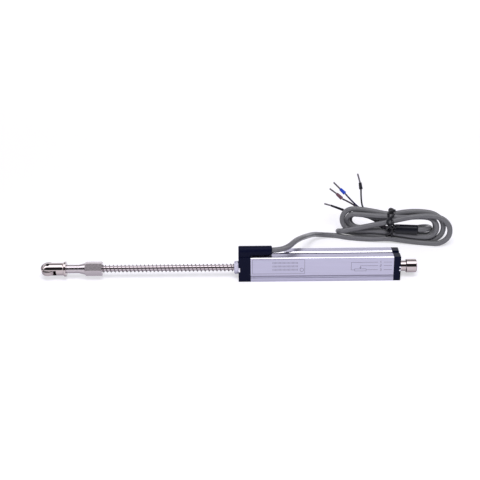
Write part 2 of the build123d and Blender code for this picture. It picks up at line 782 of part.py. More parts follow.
# Cut end of the cable's jacket and the shrunk sleeve, lying in the hank's eye on the lower strands
sleeve_out = 3.2
jacket_end = hank_point(28.4, 13.2, sleeve_out)
sleeve_start = hank_point(20.1, 12.8, sleeve_out)
sleeve_end_along = 2.5
sleeve_end_up = 11.95
sleeve_end = hank_point(sleeve_end_along, sleeve_end_up, sleeve_out)
with BuildPart() as cable_end:
    with BuildSketch(Plane(origin=jacket_end, z_dir=sleeve_start - jacket_end)):
        Circle(cable_diameter / 2)
    extrude(amount=(sleeve_start - jacket_end).length)
save(cable_end, "cable_end")

with BuildPart() as heat_shrink:
    with BuildSketch(Plane(origin=sleeve_start, z_dir=sleeve_end - sleeve_start)):
        Circle(heat_shrink_radius)
    extrude(amount=(sleeve_end - sleeve_start).length)
    fillet(heat_shrink.edges().filter_by(GeomType.CIRCLE), heat_shrink_radius / 4)
save(heat_shrink, "heat_shrink")

# Twist tie round the hank's waist
tie_along = -2.0
tie_slack = 0.15
tie_bottom = 1.9 - tie_slack
tie_top = 24.4 + tie_slack
with BuildPart() as twist_tie:
    tie_origin = hank_point(tie_along - tie_width / 2, (tie_bottom + tie_top) / 2)
    tie_plane = Plane(origin=tie_origin, x_dir=(0, 0, 1), z_dir=hank_direction)
    with BuildSketch(tie_plane):
        tie_height = tie_top - tie_bottom
        tie_depth = hank_thickness + 2 * tie_slack
        RectangleRounded(tie_height + 2 * tie_thickness, tie_depth + 2 * tie_thickness, tie_thickness)
        Rectangle(tie_height, tie_depth, mode=Mode.SUBTRACT)
    extrude(amount=tie_width)
save(twist_tie, "twist_tie")

# Wires with their ferrules. They leave the sleeve side by side, pass inside the tie, turn to the
# back through the eye and spring up behind the hank. Places are along, up and towards the housing,
# and the heading says how far a wire has turned to the back there.
wire_spread = 0.75
wire_end_gap = 0.25
ferrule_gap = 0.1
wire_turn = [((-3.6, 11.6, 3.0), 0.0), ((-9.2, 11.8, -1.8), 50.0), ((-12.8, 13.6, -7.9), 30.0)]
wire_sides = {"black": (-1, 1), "blue": (-1, -1), "brown": (1, 1), "shield": (1, -1)}
wire_rise = {
    "black": [(-16.4, 17.8, -8.4), (-22.2, 21.4, -8.6), (-24.8, 28.0, -9.2)],
    "blue": [(-19.5, 17.4, -9.5), (-26.4, 21.0, -9.7)],
    "brown": [(-20.5, 17.4, -7.8), (-27.6, 21.0, -7.8)],
    "shield": [(-22.0, 15.8, -7.8), (-31.0, 17.6, -7.8)],
}
ferrules = {
    "black": ((-25.9, 37.3, -9.4), (-26.8, 42.5, -9.4), (-28.9, 49.5, -9.4)),
    "blue": ((-38.2, 32.7, -9.7), (-42.1, 36.2, -9.7), (-47.3, 41.1, -9.7)),
    "brown": ((-40.1, 29.0, -7.8), (-44.4, 32.7, -7.8), (-49.9, 36.4, -7.8)),
    "shield": ((-38.5, 19.6, -7.8), (-48.8, 22.7, -7.8), (-53.9, 23.7, -7.8)),
}
for colour, (front, upper) in wire_sides.items():
    offset_up = upper * wire_spread
    offset_out = front * wire_spread
    start = (sleeve_end_along - wire_end_gap, sleeve_end_up + offset_up, sleeve_out + offset_out)
    route = [hank_point(*start)]
    for (along, up, out), heading in wire_turn:
        along -= offset_out * sin(radians(heading))
        out += offset_out * cos(radians(heading))
        route.append(hank_point(along, up + offset_up, out))
    route += [hank_point(*place) for place in wire_rise[colour]]
    collar_start, collar_end, pin_end = [hank_point(*place) for place in ferrules[colour]]
    collar_direction = (collar_end - collar_start).normalized()
    route.append(collar_start - collar_direction * wire_end_gap)
    save_tube(route, wire_diameter / 2, f"wire_{colour}")
    collar_length = (collar_end - collar_start).length
    collar_plane = Plane(origin=collar_start, z_dir=collar_direction)
    mouth_radius = shield_sleeve_radius if colour == "shield" else collar_mouth_radius
    root_radius = mouth_radius * collar_root_radius / collar_mouth_radius
    with BuildPart() as ferrule_collar:
        with BuildSketch(collar_plane):
            Circle(mouth_radius)
        with BuildSketch(collar_plane.offset(collar_length)):
            Circle(root_radius)
        loft()
        fillet(ferrule_collar.edges().filter_by(GeomType.CIRCLE), collar_round)
    save(ferrule_collar, f"ferrule_collar_{colour}")
    with BuildPart() as ferrule_pin:
        pin_axis = pin_end - collar_end
        pin_start = collar_end + pin_axis.normalized() * ferrule_gap
        with BuildSketch(Plane(origin=pin_start, z_dir=pin_axis)):
            Circle(ferrule_pin_radius)
        extrude(amount=pin_axis.length - ferrule_gap)
        tip = ferrule_pin.edges().filter_by(GeomType.CIRCLE).sort_by(Axis.Z)[-1]
        chamfer(tip, ferrule_pin_radius / 3)
    save(ferrule_pin, f"ferrule_pin_{colour}")
    if colour == "black":
        middle = (pin_start + pin_end) / 2
        print("black pin", middle, pin_axis.normalized(), "length", (pin_end - pin_start).length)
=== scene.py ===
"""Spring return position transducer, dressed for the camera. Metres, in the part's own frame."""
import math

import bpy
import numpy as np
from mathutils import Matrix


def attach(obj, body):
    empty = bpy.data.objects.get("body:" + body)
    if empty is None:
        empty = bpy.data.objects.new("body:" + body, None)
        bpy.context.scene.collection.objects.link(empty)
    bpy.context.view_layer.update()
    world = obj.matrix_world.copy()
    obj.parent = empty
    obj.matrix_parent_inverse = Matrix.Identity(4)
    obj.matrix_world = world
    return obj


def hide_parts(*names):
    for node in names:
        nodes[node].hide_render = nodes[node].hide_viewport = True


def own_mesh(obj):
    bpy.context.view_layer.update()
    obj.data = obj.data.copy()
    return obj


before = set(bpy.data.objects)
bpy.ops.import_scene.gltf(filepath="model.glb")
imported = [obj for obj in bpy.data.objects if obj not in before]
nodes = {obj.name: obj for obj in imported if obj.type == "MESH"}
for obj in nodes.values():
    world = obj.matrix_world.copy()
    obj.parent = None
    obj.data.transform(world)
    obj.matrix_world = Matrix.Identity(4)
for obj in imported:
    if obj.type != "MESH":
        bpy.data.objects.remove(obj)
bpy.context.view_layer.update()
MM = 0.001

# Places along the stroke and round the rod, in millimetres, the same as in the solids
ROD_Y = -12.7
TABLE_Z = -9.0
SPRING_START = -152.1
SPRING_END = -59.5
SPRING_OUTER = 2.8
SPRING_TURNS = 34.5
ELBOW_END = -33.0
ELBOW_Z = 12.6
CABLE = 4.0
WIRE = 1.3
FACE_Y = -18.0
HALF = 9.0
GROOVE_BACK = -6.8
PROFILE_START = -48.0
PROFILE_END = 51.5


# ---------- finishes ----------
def rgb(red, green, blue):
    """A screen colour, 0 to 255, as the light values that a shader takes."""
    screen = np.array([red, green, blue]) / 255.0
    light = np.where(screen <= 0.04045, screen / 12.92, ((screen + 0.055) / 1.055) ** 2.4)
    return tuple(float(c) for c in light)


def add_node(tree, kind, values=None):
    """A shader node of that kind in the tree, with these values on its named inputs."""
    node = tree.nodes.new("ShaderNode" + kind)
    for socket, value in (values or {}).items():
        node.inputs[socket].default_value = value
    return node


def combine(tree, operation, first, second=0.0):
    """The result of a maths node on two values, each of them a number or another node's output."""
    node = add_node(tree, "Math")
    node.operation = operation
    for place, value in enumerate((first, second)):
        if isinstance(value, float):
            node.inputs[place].default_value = value
        else:
            tree.links.new(value, node.inputs[place])
    return node.outputs[0]


def map_range(tree, value, source, target):
    """Another node's output, carried from the source range of values to the target range."""
    ends = {"From Min": source[0], "From Max": source[1], "To Min": target[0], "To Max": target[1]}
    node = add_node(tree, "MapRange", ends)
    tree.links.new(value, node.inputs["Value"])
    return node.outputs["Result"]


def finish(name, colour, rough, metal=0.0, grain=(1500, 1500, 1500), mottle=0.08, bump=0.15,
           depth=0.00002, spread=0.06, specular=0.5):
    """One surface finish: a noise stretched by grain shifts the colour by mottle and the roughness
    by spread, and raises a bump of that depth."""
    material = bpy.data.materials.new(name)
    material.use_nodes = True
    tree = material.node_tree
    link = tree.links.new
    shader = tree.nodes["Principled BSDF"]
    shader.inputs["Metallic"].default_value = metal
    shader.inputs["Specular IOR Level"].default_value = specular
    place = add_node(tree, "TexCoord")
    stretch = add_node(tree, "Mapping", {"Scale": grain})
    noise = add_node(tree, "TexNoise", {"Scale": 1.0, "Detail": 3.0})
    link(place.outputs["Object"], stretch.inputs["Vector"])
    link(stretch.outputs["Vector"], noise.inputs["Vector"])
    tint = add_node(tree, "ValToRGB")
    dark, light = tint.color_ramp.elements
    dark.position, light.position = 0.3, 0.7
    dark.color = (*[c * (1 - mottle) for c in colour], 1)
    light.color = (*[min(1, c * (1 + mottle)) for c in colour], 1)
    link(noise.outputs["Fac"], tint.inputs["Fac"])
    link(tint.outputs["Color"], shader.inputs["Base Color"])
    polish = map_range(tree, noise.outputs["Fac"], (0.0, 1.0),
                       (max(0.02, rough - spread), rough + spread))
    link(polish, shader.inputs["Roughness"])
    relief = add_node(tree, "Bump", {"Strength": bump, "Distance": depth})
    link(noise.outputs["Fac"], relief.inputs["Height"])
    link(relief.outputs["Normal"], shader.inputs["Normal"])
    return material


DRAWN = (30, 2600, 2600)  # grain drawn out along the extrusion

anodised = finish("anodised_extrusion", rgb(192, 190, 210), 0.4, metal=1.0, grain=DRAWN,
                  mottle=0.05, bump=0.25, depth=0.000012)
# Painted shade: a dark grey for a strip on the front face that stands in for the shaded upper side
# of the bottom groove
painted_groove_shade = finish("painted_groove_shade", rgb(122, 120, 138), 0.5, grain=DRAWN, mottle=0.06,
                      specular=0.2)
# Painted highlight: a near-white for the beads on the extrusion's edges, standing in for the light
# that those rounded edges catch
painted_lip_highlight = finish("painted_lip_highlight", rgb(246, 245, 250), 0.22, metal=1.0, grain=DRAWN, mottle=0.02,
                   bump=0.1, depth=0.000005)
etched_grey = finish("etched_grey", rgb(112, 108, 126), 0.5, grain=(4000, 4000, 4000), mottle=0.15)
moulded_black = finish("moulded_black", rgb(10, 13, 34), 0.36, grain=(2500, 2500, 2500), mottle=0.2,
                       bump=0.3, specular=0.07)
sliding_white = finish("sliding_white", rgb(226, 224, 238), 0.42, mottle=0.03, bump=0.1)
washer_pale = finish("washer_pale", rgb(186, 184, 204), 0.45, mottle=0.04, bump=0.1)
turned_bright = finish("turned_bright", rgb(192, 181, 181), 0.06, metal=1.0, grain=(9000, 60, 60),
                       mottle=0.03, bump=0.08, depth=0.000004, spread=0.03)
machined_hex = finish("machined_hex", rgb(190, 182, 186), 0.24, metal=1.0, grain=(7000, 300, 300),
                      mottle=0.05, depth=0.000006, spread=0.05)
ground_rod = finish("ground_rod", rgb(186, 176, 180), 0.12, metal=1.0, grain=(6000, 80, 80),
                    mottle=0.04, bump=0.1, depth=0.000004, spread=0.04)
drawn_spring = finish("drawn_spring", rgb(138, 130, 134), 0.3, metal=1.0, grain=(400, 2500, 2500),
                      bump=0.1, depth=0.000005)
pin_dark = finish("pin_dark", rgb(46, 42, 48), 0.35, metal=1.0)
zinc_screw = finish("zinc_screw", rgb(150, 150, 156), 0.35, metal=1.0)
jacket_grey = finish("jacket_grey", rgb(100, 100, 104), 0.34, grain=(1800, 1800, 1800), mottle=0.1,
                     bump=0.35, depth=0.00003)
shrunk_black = finish("shrunk_black", rgb(14, 15, 24), 0.36, grain=(900, 2400, 2400), mottle=0.2,
                      bump=0.4, specular=0.3)
tie_black = finish("tie_black", rgb(14, 14, 22), 0.3, grain=(2600, 2600, 2600), mottle=0.25,
                   bump=0.5, specular=0.4)
wire_black = finish("wire_black_skin", rgb(30, 30, 38), 0.35, mottle=0.1, specular=0.3)
wire_blue = finish("wire_blue_skin", rgb(38, 36, 66), 0.35, mottle=0.1, specular=0.3)
wire_brown = finish("wire_brown_skin", rgb(46, 38, 46), 0.35, mottle=0.1, specular=0.3)
collar_black = finish("collar_black", rgb(18, 18, 26), 0.3, mottle=0.1, specular=0.3)
collar_blue = finish("collar_blue", rgb(26, 62, 182), 0.3, specular=0.4)
collar_brown = finish("collar_brown", rgb(100, 66, 80), 0.32, mottle=0.1, specular=0.4)
tinned = finish("tinned_copper", rgb(120, 116, 120), 0.3, metal=1.0, grain=(5000, 5000, 800),
                mottle=0.15)
board_green = finish("board_green", rgb(40, 78, 46), 0.45)
track_black = finish("track_black", rgb(24, 24, 26), 0.5)
contact_gold = finish("contact_gold", rgb(214, 178, 104), 0.25, metal=1.0)
carriage_cream = finish("carriage_cream", rgb(214, 210, 196), 0.45, mottle=0.04)

dressed = {
    anodised: ["housing_profile"],
    moulded_black: ["front_cap", "rear_cap"],
    sliding_white: ["front_bush", "rear_bush"],
    washer_pale: ["spring_seat_washer"],
    pin_dark: ["roller_pin"],
    turned_bright: ["roller_head", "roller_outer_ring", "roller_inner_ring", "roller_balls",
                    "roller_shields", "stop_nut"],
    machined_hex: ["hex_adapter"],
    ground_rod: ["push_rod"],
    drawn_spring: ["retaining_rings"],
    zinc_screw: ["front_cap_screws", "rear_cap_screws"],
    shrunk_black: ["heat_shrink"],
    board_green: ["track_board"],
    track_black: ["resistance_track", "collector_track"],
    contact_gold: ["wiper_fingers"],
    carriage_cream: ["wiper_carriage"],
    tinned: ["terminal_pins", "ferrule_pin_black", "ferrule_pin_blue", "ferrule_pin_brown",
             "ferrule_pin_shield"],
    collar_black: ["ferrule_collar_black", "ferrule_collar_shield"],
    collar_blue: ["ferrule_collar_blue"],
    collar_brown: ["ferrule_collar_brown"],
}
for material, names in dressed.items():
    for name in names:
        skins = nodes[name].data.materials
        skins.clear()
        skins.append(material)


# ---------- surfaces ----------
def unit(vectors):
    """Each vector divided by its own length."""
    return vectors / np.linalg.norm(vectors, axis=-1, keepdims=True)


def add_piece(name, vertices, faces, material, smooth):
    """One piece of the scene, with its place in its mesh, from its vertices and faces."""
    mesh = bpy.data.meshes.new(name)
    mesh.from_pydata(vertices.tolist(), [], faces)
    mesh.polygons.foreach_set("use_smooth", np.full(len(mesh.polygons), smooth))
    mesh.materials.append(material)
    mesh.update()
    piece = bpy.data.objects.new(name, mesh)
    bpy.context.scene.collection.objects.link(piece)
    return piece


def make_surface(name, points, material, closed_rows=False, smooth=True):
    """A mesh from a grid of points, rows by columns by 3. Rows follow each other along the piece
    and columns go round it; open ends get a fan to their middle."""
    rows, columns = points.shape[:2]
    row, column = np.meshgrid(np.arange(rows if closed_rows else rows - 1), np.arange(columns),
                              indexing="ij")
    next_row, next_column = (row + 1) % rows, (column + 1) % columns
    corners = [row * columns + column, row * columns + next_column,
               next_row * columns + next_column, next_row * columns + column]
    vertices = points.reshape(-1, 3)
    faces = np.stack(corners, -1).reshape(-1, 4).tolist()
    if not closed_rows:
        ring = np.arange(columns)
        around = np.roll(ring, -1)
        start, end = len(vertices), (rows - 1) * columns
        vertices = np.concatenate([vertices, points[[0, -1]].mean(1)])
        faces += np.stack([around, ring, np.full(columns, start)], -1).tolist()
        faces += np.stack([end + ring, end + around, np.full(columns, start + 1)], -1).tolist()
    return add_piece(name, vertices, faces, material, smooth)


def tube_points(line, radius, sides, closed=False, towards=(0.0, 0.0, 1.0)):
    """A ring of sides points round each point of the line, in the plane across the line there:
    point = line + radius * (cos a * across + sin a * over)."""
    if closed:
        ahead = unit(np.roll(line, -1, 0) - np.roll(line, 1, 0))
    else:
        ahead = unit(np.gradient(line, axis=0))
    across = unit(np.cross(np.array(towards), ahead))
    over = np.cross(ahead, across)
    angle = np.linspace(0, 2 * np.pi, sides, endpoint=False)[None, :, None]
    size = np.broadcast_to(np.asarray(radius, float), (len(line),))[:, None, None]
    return line[:, None] + size * (np.cos(angle) * across[:, None] + np.sin(angle) * over[:, None])


# ---------- return spring ----------
SPRING_WIRE = 0.6
SPRING_RADIUS = SPRING_OUTER - SPRING_WIRE / 2
SPRING_GAP = 0.05  # from the wire's end to its seat
TURN_STEPS = 26
END_PITCH = 0.25  # of the pitch in the open turns
CLOSING_TURNS = 1.1


def coil_line():
    """The spring's middle line: x rises with the turn's share of the length, slowly over the first
    and last turn, where the coils close up, and y and z go round the rod at one radius."""
    turn = np.linspace(0, 1, int(SPRING_TURNS * TURN_STEPS) + 1) * SPRING_TURNS
    closing = np.minimum(turn, SPRING_TURNS - turn)
    pitch = END_PITCH + (1 - END_PITCH) * np.clip(closing / CLOSING_TURNS, 0, 1) ** 2
    rise = np.concatenate([[0], np.cumsum((pitch[1:] + pitch[:-1]) / 2)])
    start = SPRING_START + SPRING_WIRE / 2 + SPRING_GAP
    length = SPRING_END - SPRING_START - SPRING_WIRE - 2 * SPRING_GAP
    x = start + length * rise / rise[-1]
    angle = 2 * np.pi * turn
    y, z = ROD_Y + SPRING_RADIUS * np.cos(angle), SPRING_RADIUS * np.sin(angle)
    return np.stack([x, y, z], -1) * MM


coils = tube_points(coil_line(), SPRING_WIRE / 2 * MM, 10, towards=(1, 0, 0))
spring = make_surface("spring_coils", coils, drawn_spring)
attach(spring, "housing")
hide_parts("return_spring")
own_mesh(spring)

# ---------- extrusion lips, near-white as painted highlights ---
LIP_STEPS = 7
LIP_WALL = 0.3
LIP_FROM_CAP = 0.05


def lip(name, low, high, bulge):
    """The drawn bead along one long edge of the extrusion, a rounded edge painted near-white as a
    highlight: its face runs from low to high across the extrusion, crowned as point = low + t *
    (high - low) + bulge * sin(pi * t) outwards, and its back lies in the wall; the section is
    carried from end to end."""
    low, high = np.array(low), np.array(high)
    outwards = np.array([low[1] - high[1], high[0] - low[0]]) / np.linalg.norm(high - low)
    share = np.linspace(0, 1, LIP_STEPS)[:, None]
    face = low + share * (high - low) + bulge * np.sin(np.pi * share) * outwards
    ring = np.concatenate([face, face[::-1] - LIP_WALL * outwards])
    ends = np.array([PROFILE_START + LIP_FROM_CAP, PROFILE_END - LIP_FROM_CAP])
    points = np.empty((2, len(ring), 3))
    points[..., 0], points[..., 1:] = ends[:, None], ring
    piece = make_surface(name, points[:, ::-1] * MM, painted_lip_highlight, smooth=False)
    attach(piece, "housing")


# Painted highlights along the back edge of the top groove and along the top front edge
lip("groove_lip_highlight", (GROOVE_BACK - 0.75, HALF - 0.63), (GROOVE_BACK, HALF + 0.01), bulge=0.04)
lip("front_lip_highlight", (FACE_Y + 0.03, HALF - 0.28), (FACE_Y + 0.42, HALF + 0.04), bulge=0.02)

# ---------- etched signs ----------
STROKE_PROUD = 0.012
STROKE_SUNK = 0.03
SLAB_FACES = np.array([[0, 1, 2, 3], [7, 6, 5, 4], [4, 5, 1, 0], [5, 6, 2, 1], [6, 7, 3, 2],
                       [7, 4, 0, 3]])


def etched(name, lines, width, material):
    """Straight strokes on the front face: each is a thin slab along its line, as wide as width;
    corner = end of the line + or - half the width square to it, in the plane of the face."""
    lines = np.array(lines, float).reshape(-1, 2, 2)
    ahead = unit(lines[:, 1] - lines[:, 0])
    square = np.stack([-ahead[:, 1], ahead[:, 0]], -1) * width / 2
    start, end = lines[:, 0], lines[:, 1]
    corners = np.stack([start - square, end - square, end + square, start + square], 1)
    points = np.empty((len(lines), 2, 4, 3))
    points[..., 0], points[..., 2] = corners[:, None, :, 0], corners[:, None, :, 1]
    points[..., 1] = np.array([FACE_Y - STROKE_PROUD, FACE_Y + STROKE_SUNK])[None, :, None]
    faces = (np.arange(len(lines))[:, None, None] * 8 + SLAB_FACES).reshape(-1, 4)
    piece = add_piece(name, points.reshape(-1, 3) * MM, faces.tolist(), material, smooth=False)
    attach(piece, "housing")


def path_lines(*corners):
    """The strokes from each corner to the next."""
    return list(zip(corners[:-1], corners[1:]))


def frame_lines(left, low, right, high):
    """The four sides of an upright rectangle."""
    return path_lines((left, low), (right, low), (right, high), (left, high), (left, low))


# A plain frame with ruled rows and a ring on the left
TICKS = np.arange(-32.5, -14.9, 0.9)
TICK_HEIGHT = 1.35
ruled = [((x, z), (x, z + TICK_HEIGHT)) for z in (4.6, 2.0, -0.6) for x in TICKS]
ring_angles = np.linspace(0, 2 * np.pi, 13)
ring = path_lines(*[(-12.4 + 1.3 * math.cos(a), 1.3 * math.sin(a)) for a in ring_angles])

# The sign for a potentiometer on the right: its resistor, wiper and three numbered leads
TOP, MIDDLE, BASE = 5.2, 2.6, -0.5
SIGN_LEFT, LEADS_END, WIPER_X = 22.0, 40.5, 28.4
RESISTOR_LEFT, RESISTOR_RIGHT, RESISTOR_HALF = 24.4, 32.4, 0.8
DIGITS_LEFT, DIGIT_HALF, DASH = 42.0, 0.8, (44.6, 50.2)
sign = path_lines((RESISTOR_LEFT, BASE), (SIGN_LEFT, BASE), (SIGN_LEFT, TOP), (LEADS_END, TOP))
sign += path_lines((WIPER_X, 0.7), (WIPER_X, MIDDLE), (LEADS_END, MIDDLE))
sign += path_lines((RESISTOR_RIGHT, BASE), (LEADS_END, BASE))
sign += path_lines((WIPER_X - 0.6, 1.6), (WIPER_X, 0.6), (WIPER_X + 0.6, 1.6))
sign += frame_lines(RESISTOR_LEFT, BASE - RESISTOR_HALF, RESISTOR_RIGHT, BASE + RESISTOR_HALF)
one = path_lines((0.5, 0.0), (0.5, 1.6), (0.1, 1.2))
two = path_lines((0.0, 1.6), (0.9, 1.6), (0.9, 0.8), (0.0, 0.8), (0.0, 0.0), (0.9, 0.0))
three = path_lines((0.0, 1.6), (0.9, 1.6), (0.9, 0.0), (0.0, 0.0))
three += path_lines((0.2, 0.8), (0.9, 0.8))
for digit, level in ((one, TOP), (two, MIDDLE), (three, BASE)):
    sign += [tuple((DIGITS_LEFT + x, level - DIGIT_HALF + z) for x, z in line) for line in digit]
    sign += [tuple((x, level) for x in DASH)]

# A painted shadow: a dark strip along the front face just above the bottom groove, standing in for
# its shaded upper side
etched("painted_groove_shadow_strip", [((PROFILE_START, -4.75), (PROFILE_END, -4.75))], 0.9, painted_groove_shade)
etched("etched_frame", frame_lines(-46.8, -2.9, -10.4, 7.8), 0.25, etched_grey)
etched("etched_rows", ruled + ring, 0.32, etched_grey)
etched("etched_sign", sign, 0.28, etched_grey)

# ---------- cable ----------
HANK_TURN = math.radians(-14.4)
HANK_ALONG = np.array([math.cos(HANK_TURN), math.sin(HANK_TURN), 0.0])
HANK_UP = np.array([0.0, 0.0, 1.0])
HANK_OUT = np.cross(HANK_ALONG, HANK_UP)
HANK_FOOT = np.array([60.0, 54.2, TABLE_Z + 0.02])
OCTAGON_HALF = np.radians([-67.5, -22.5, 22.5, 67.5])
IN_ELBOW = 4.0  # how far the cable reaches into the elbow


def on_hank(places):
    """Rows of along, up and out (towards the housing) in the hank's own plane, as places in the
    part: place = foot + along * its direction + up * its direction + out * its direction."""
    return HANK_FOOT + np.asarray(places, float) @ np.stack([HANK_ALONG, HANK_UP, HANK_OUT])


def loop_end(middle, low, high, side, out):
    """The round end of a turn: four points, half an octagon from low to high, bulging to side,
    whose distance out is the quadratic curve through the three values given, as a Bezier's."""
    radius = (high - low) / 2
    up = (high + low) / 2 + radius * 1.05 * np.sin(OCTAGON_HALF)
    along = middle + side * radius * (1.08 * np.cos(OCTAGON_HALF) - 0.08)
    share = (np.sin(OCTAGON_HALF) + 1) / 2
    depth = out[0] * (1 - share) ** 2 + 2 * out[1] * share * (1 - share) + out[2] * share**2
    return np.stack([along, up, depth], -1)


lead_route = [
    (ELBOW_END - IN_ELBOW, ROD_Y, ELBOW_Z), (-27.6, ROD_Y, 12.7), (-20.8, -8.0, 13.6),
    (-16.4, 0.8, 13.9), (-12.0, 10.7, 12.1), (-8.4, 21.3, 8.9), (-5.6, 32.4, 5.1),
    (-2.6, 43.3, 1.5), (1.4, 54.0, -2.3), (8.6, 61.4, -5.8), (18.4, 62.8, -6.98),
]
# The turns of the hank, as along, up and out. Each run goes to the next round end.
hank_route = np.concatenate([
    [(-34, 2.05, 4.4), (-24, 2.05, 4.6), (-13, 2.4, 4.4), (-2.5, 3.9, 3.8), (8, 2.9, 3.2),
     (18.5, 2.1, 2.5), (28.5, 2.05, 2.3)],
    loop_end(33.4, 2.1, 24.0, 1, (2.3, 2.3, 2.6)),
    [(26.5, 24.5, 3.2), (15, 22.8, 3.8), (5, 19.9, 4.3), (-5, 16.7, 4.6), (-16, 13.4, 4.6),
     (-25.5, 10.6, 4.7), (-31.8, 8.8, 4.8)],
    [(-37.4, 7.1, 4.6), (-41.4, 5.5, 1.1), (-41.4, 3.5, -4.0), (-37.0, 2.4, -7.2)],
    [(-30, 2.2, -5.6), (-22, 3.2, -2.0), (-11, 3.9, -0.4), (0, 3.1, -1.7), (11, 2.4, -2.2),
     (21, 2.1, -2.5)],
    loop_end(27.6, 2.1, 25.3, 1, (-2.6, -2.4, -1.9)),
    [(20, 25.7, -1.8), (9, 24.2, -2.4), (-2.5, 20.6, -3.1), (-14.5, 22.9, -2.0), (-26, 23.9, -1.6)],
    loop_end(-30.6, 6.6, 23.7, -1, (0.6, -0.6, -1.6))[::-1],
    [(-26.5, 6.9, 0.5), (-15, 7.9, 0.7), (-3, 7.8, 0.8), (9.5, 6.7, 1.2), (21.5, 6.2, 1.2)],
    loop_end(26.4, 6.3, 21.6, 1, (0.8, -0.2, -0.8)),
    [(22, 21.8, -0.8), (12, 20.7, -0.2), (3, 20.4, 0.6), (-5.5, 20.8, 1.9), (-15.5, 20.9, 2.4),
     (-24.5, 21, 2.5)],
    loop_end(-28.4, 7.4, 20.9, -1, (-4.2, -1.8, 2.2))[::-1],
    [(-24.5, 7.1, -4.2), (-13, 6.9, -3.6), (-1, 7.1, -3.4), (10.5, 6.3, -3.0), (21, 6.3, -3.2)],
    loop_end(25.6, 6.4, 20.6, 1, (-3.3, -4.0, -5.0)),
    [(20.5, 20.8, -5.0), (9, 19.6, -4.4), (-3, 16.8, -3.4), (-13.5, 17.2, -2.9),
     (-23.5, 18.8, -3.6)],
    loop_end(-27.4, 6.2, 19.4, -1, (-8.2, -6.8, -4.4))[::-1],
    [(-23.2, 6.2, -8.2), (-12.5, 6.3, -7.8), (-2, 6.5, -7.8), (7.5, 7.0, -9.4), (16, 8.2, -11.4)],
    [(23.2, 9.8, -11.8), (27.9, 11.3, -7.5), (27.9, 12.6, -1.4), (24.6, 13.0, 2.9),
     (18.1, 12.7, 3.2)],
])


def smooth_line(name, route, thickness, material):
    """One smooth round line through space, with the route's points as its control points."""
    curve = bpy.data.curves.new(name, "CURVE")
    curve.dimensions = "3D"
    curve.resolution_u = 10
    curve.bevel_depth = thickness / 2 * MM
    curve.bevel_resolution = 5
    curve.use_fill_caps = True
    spline = curve.splines.new("NURBS")
    spline.points.add(len(route) - 1)
    weighted = np.concatenate([np.asarray(route) * MM, np.ones((len(route), 1))], -1)
    spline.points.foreach_set("co", weighted.ravel())
    spline.order_u = 3
    spline.use_endpoint_u = True
    curve.materials.append(material)
    piece = bpy.data.objects.new(name, curve)
    bpy.context.scene.collection.objects.link(piece)
    return piece


cable_route = np.concatenate([np.array(lead_route), on_hank(hank_route)])
cable = smooth_line("cable", cable_route, CABLE, jacket_grey)
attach(cable, "housing")
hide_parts("cable_lead", "cable_hank", "cable_end")

# ---------- tie ----------
TIE_PLACE = -1.2
TIE_LEAN = 0.03
TIE_SWING = 2.0
TIE_STRAND = 1.7
TIE_TWISTS = 5
TIE_STEPS = 400
TIED_TURNS = np.array([(7.9, 0.9), (17.3, 4.5), (20.8, 1.6), (21.0, -2.6), (6.5, -7.8),
                       (7.1, -3.4)])
TAIL_STRAND = 1.24
TAIL_TWISTS = 1.4


def round_hank(share, out):
    """Up and out of a closed line round the turns at the tie: in each direction the turn that
    reaches farthest that way, plus out in that direction, with the points then spread evenly."""
    angle = np.linspace(0, 2 * np.pi, 721)
    way = np.stack([np.cos(angle), np.sin(angle)], -1)
    line = TIED_TURNS[(way @ TIED_TURNS.T).argmax(1)] + out * way
    travelled = np.concatenate([[0], np.cumsum(np.linalg.norm(np.diff(line, axis=0), axis=1))])
    wanted = share * travelled[-1]
    return np.stack([np.interp(wanted, travelled, line[:, axis]) for axis in (0, 1)], -1)


def tie_strand(half_turn):
    """One of the two strands of the tie: it winds about the line round the hank, to the side by the
    cosine and outwards by the sine of its twist, and lies no lower than on the table."""
    share = np.linspace(0, 1, TIE_STEPS + 1)[:-1]
    twist = 2 * np.pi * (TIE_TWISTS * share + half_turn)
    inner = round_hank(share, (CABLE + TIE_STRAND) / 2)
    outer = round_hank(share, CABLE / 2 + TIE_STRAND * 1.45)
    lift = (0.5 + 0.5 * np.sin(twist))[:, None]
    up, out = (inner * (1 - lift) + outer * lift).T
    side = TIE_PLACE + TIE_SWING * np.cos(twist) + TIE_LEAN * (up - 12)
    return on_hank(np.stack([side, np.maximum(up, TIE_STRAND / 2 + 0.05), out], -1))


def tie_tail(half_turn):
    """One strand of the twisted end: a helix about a short line from the knot to the right."""
    share = np.linspace(0, 1, 60)
    twist = 2 * np.pi * (TAIL_TWISTS * share + half_turn)
    side = TIE_PLACE + 0.5 + 6.6 * share
    up = 14.6 + 1.6 * share + TAIL_STRAND / 2 * np.cos(twist)
    out = 8.4 + 0.2 * share + TAIL_STRAND / 2 * np.sin(twist)
    return on_hank(np.stack([side, up, out], -1))


ridged = TIE_STRAND / 2 * (1 + 0.06 * np.cos(np.arange(TIE_STEPS) * 2 * np.pi / 5)) * MM
for number, half_turn in ((1, 0.0), (2, 0.5)):
    round_points = tube_points(tie_strand(half_turn) * MM, ridged, 10, closed=True,
                               towards=tuple(HANK_ALONG))
    strand = make_surface(f"tie_strand_{number}", round_points, tie_black, closed_rows=True)
    tail_points = tube_points(tie_tail(half_turn) * MM, TAIL_STRAND / 2 * MM, 10)
    tail = make_surface(f"tie_end_{number}", tail_points, tie_black)
    for piece in (strand, tail):
        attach(piece, "housing")
        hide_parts("twist_tie")

# ---------- wires ----------
WIRE_SPREAD = 0.75
WIRE_GAP = 0.25
SLEEVE_END = (2.5, 11.95, 3.2)
# Where the wires turn back behind the hank, and by how many degrees their bundle has turned there
wire_turn = [((-3.6, 11.6, 3.0), 0.0), ((-9.2, 11.8, -1.8), 50.0), ((-12.8, 13.6, -7.9), 30.0)]
